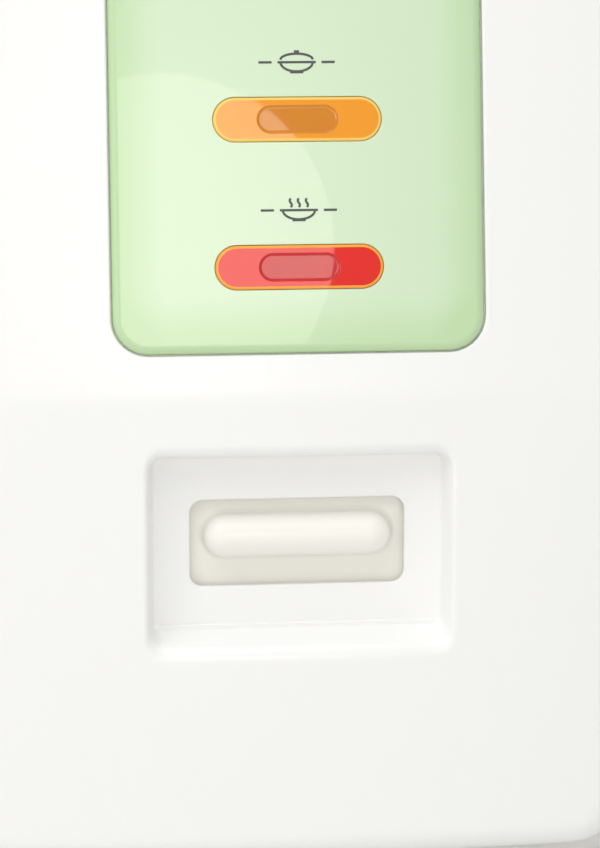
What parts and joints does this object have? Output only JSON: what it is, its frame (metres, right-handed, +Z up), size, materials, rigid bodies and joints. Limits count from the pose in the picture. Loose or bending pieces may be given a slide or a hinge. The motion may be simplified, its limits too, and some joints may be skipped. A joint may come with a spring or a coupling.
{
  "type": "rice cooker",
  "caption": "Drum rice cooker with a cook key in a front pocket, lamp panel, lift-out pot, glass lid and side handles.",
  "frame": {"origin": "on the table surface, on the axis of the drum and pot", "axes": "+Z up, -Y out of the front with the key and panel, +X to the right as seen by the user"},
  "size_m": [0.324, 0.284, 0.263],
  "materials": {
    "white_enamel": "gloss baked enamel on steel sheet",
    "white_plastic": "moulded ABS, fine satin gloss",
    "panel_green": "gloss printed panel",
    "lens_red": "translucent orange-red lens",
    "lens_amber": "translucent amber lens",
    "lamp_glass": "small glow lamp",
    "board": "phenolic paper board",
    "zinc_steel": "zinc-plated",
    "stainless": "polished stainless",
    "aluminised_steel": "aluminised sheet",
    "cast_aluminium": "cast, machined face",
    "sheath_steel": "oxidised element sheath",
    "pressed_aluminium": "pressed, satin anodised",
    "ferrite": "sintered ferrite",
    "spring_steel": "drawn wire",
    "black_phenolic": "moulded phenolic",
    "switch_plastic": "moulded thermoset",
    "plunger_plastic": "moulded nylon",
    "fuse_sleeve": "glass-fibre sleeve",
    "brass_blades": "nickel-plated brass",
    "grey_rubber": "moulded rubber",
    "silicone": "translucent silicone",
    "lid_glass": "tempered glass"
  },
  "bodies": {
    "housing": {"outer_casing": "white_enamel", "top_ring": "stainless", "inner_casing": "aluminised_steel", "base_ring": "white_plastic", "base_plate": "zinc_steel", "feet": "grey_rubber", "foot_screws": "zinc_steel", "control_housing": "white_plastic", "control_panel": "panel_green", "cook_lens": "lens_red", "warm_lens": "lens_amber", "lamp_board": "board", "cook_lamp": "lamp_glass", "warm_lamp": "lamp_glass", "board_screws": "zinc_steel", "housing_screws": "zinc_steel", "lever_bracket": "zinc_steel", "bracket_screws": "zinc_steel", "pivot_pin": "zinc_steel", "main_switch": "switch_plastic", "switch_screws": "zinc_steel", "heater_plate": "cast_aluminium", "heater_tube": "sheath_steel", "heater_posts": "zinc_steel", "heater_screws": "zinc_steel", "thermostat_body": "aluminised_steel", "warm_thermostat": "black_phenolic", "thermal_fuse": "fuse_sleeve", "rear_cover": "white_plastic", "rear_screws": "zinc_steel", "inlet_socket": "black_phenolic", "inlet_pins": "brass_blades", "left_handle": "white_plastic", "right_handle": "white_plastic", "handle_screws": "zinc_steel"},
    "pot": {"inner_pot": "pressed_aluminium"},
    "lid": {"lid_glass": "lid_glass", "lid_rim": "stainless", "steam_vent": "stainless", "knob_seat": "silicone", "lid_knob": "black_phenolic", "knob_screw": "stainless"},
    "cook_lever": {"cook_lever": "zinc_steel", "cook_key": "white_plastic"},
    "magnet": {"magnet_cup": "zinc_steel", "magnet": "ferrite", "magnet_spring": "spring_steel"},
    "switch_plunger": {"switch_plunger": "plunger_plastic"},
    "sensor": {"sensor_cap": "pressed_aluminium", "sensor_ferrite": "ferrite", "sensor_spring": "spring_steel"}
  },
  "joints": [
    {"name": "cook_key_press", "type": "hinge", "parent": "housing", "child": "cook_lever", "pos_m": [0, -0.08, 0.06], "axis": [1, 0, 0], "range_deg": [0, 3], "stiffness_Nm_per_rad": 1.5, "springref_deg": -6.88},
    {"name": "magnet_rise", "type": "slide", "parent": "housing", "child": "magnet", "axis": [0, 0, 1], "range_m": [0, 0.0042], "deforming": ["magnet_spring"]},
    {"name": "switch_press", "type": "slide", "parent": "housing", "child": "switch_plunger", "axis": [0, 0, 1], "range_m": [-0.00106, 0]},
    {"name": "sensor_float", "type": "slide", "parent": "housing", "child": "sensor", "axis": [0, 0, 1], "range_m": [-0.0012, 0], "stiffness_N_per_m": 800, "springref_m": 0.004, "deforming": ["sensor_spring"]},
    {"name": "pot_lift", "type": "slide", "parent": "housing", "child": "pot", "axis": [0, 0, 1], "range_m": [0, 0.16]},
    {"name": "lid_lift", "type": "slide", "parent": "pot", "child": "lid", "axis": [0, 0, 1], "range_m": [0, 0.12]}
  ],
  "couplings": [
    {"joint": "magnet_rise", "follows": "cook_key_press", "m_per_rad": 0.08},
    {"joint": "switch_press", "follows": "cook_key_press", "m_per_rad": -0.02}
  ]
}
